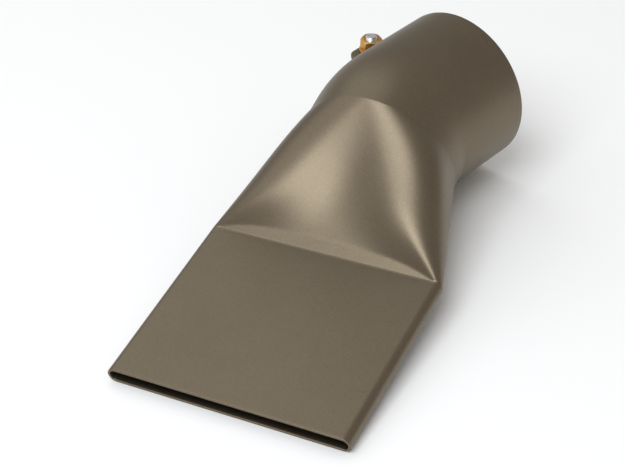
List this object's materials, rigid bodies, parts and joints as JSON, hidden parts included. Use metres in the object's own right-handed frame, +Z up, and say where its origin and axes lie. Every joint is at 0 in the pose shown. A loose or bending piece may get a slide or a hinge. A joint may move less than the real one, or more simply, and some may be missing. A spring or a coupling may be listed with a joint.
{
  "type": "flat air nozzle",
  "caption": "Wide flat slot nozzle for hot air, pressed from a round tube with a slight elbow, with a slit collar that a bolt and nut clamp on a heater pipe.",
  "frame": {"origin": "centre of the collar's bore at its rim, where the heater pipe goes in", "axes": "+Y from the mouth to the rim in plan, +Z up as it lies on a table, +X to the side that the elbow leans to"},
  "size_m": [0.0968, 0.1937, 0.0666],
  "materials": {
    "blasted_steel": "bead-blasted stainless steel, matt, with a fine grain and a slight brown tone",
    "clear_zinc": "bright clear zinc plating",
    "yellow_zinc": "yellow passivated zinc plating"
  },
  "bodies": {
    "root": {"nozzle_body": "blasted_steel", "upper_lug": "blasted_steel", "lower_lug": "blasted_steel", "clamp_bolt": "clear_zinc", "clamp_nut": "yellow_zinc", "upper_washer": "yellow_zinc", "lower_washer": "clear_zinc"}
  },
  "joints": []
}
